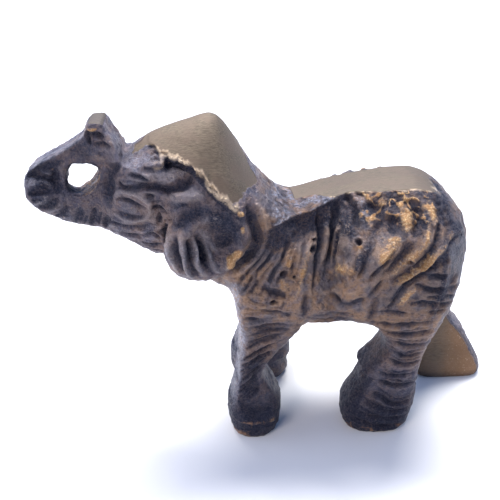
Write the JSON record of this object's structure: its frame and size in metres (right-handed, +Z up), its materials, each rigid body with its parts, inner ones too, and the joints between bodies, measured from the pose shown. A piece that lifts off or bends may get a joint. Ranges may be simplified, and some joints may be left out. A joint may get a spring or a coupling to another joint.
{
  "type": "elephant figurine",
  "caption": "Small patinated brass elephant figurine that strides with its trunk raised and curled into an open loop; coarse ridged hide, filed crown and back.",
  "frame": {"origin": "on the ground plane under the middle of the overall box", "axes": "+X towards the tail, head towards -X; -Y is the elephant's left side; +Z up"},
  "size_m": [0.08, 0.0244, 0.0546],
  "materials": {
    "patinated_brass": "dark brown patina in the hollows, worn golden on the ridges"
  },
  "bodies": {
    "root": {"torso": "patinated_brass", "head": "patinated_brass", "leg_front_left": "patinated_brass", "leg_front_right": "patinated_brass", "leg_hind_left": "patinated_brass", "leg_hind_right": "patinated_brass", "ear_left": "patinated_brass", "ear_right": "patinated_brass", "trunk_root": "patinated_brass", "trunk_lower": "patinated_brass", "trunk_bend": "patinated_brass", "trunk_upper": "patinated_brass", "trunk_tip": "patinated_brass", "tail": "patinated_brass"}
  },
  "joints": []
}
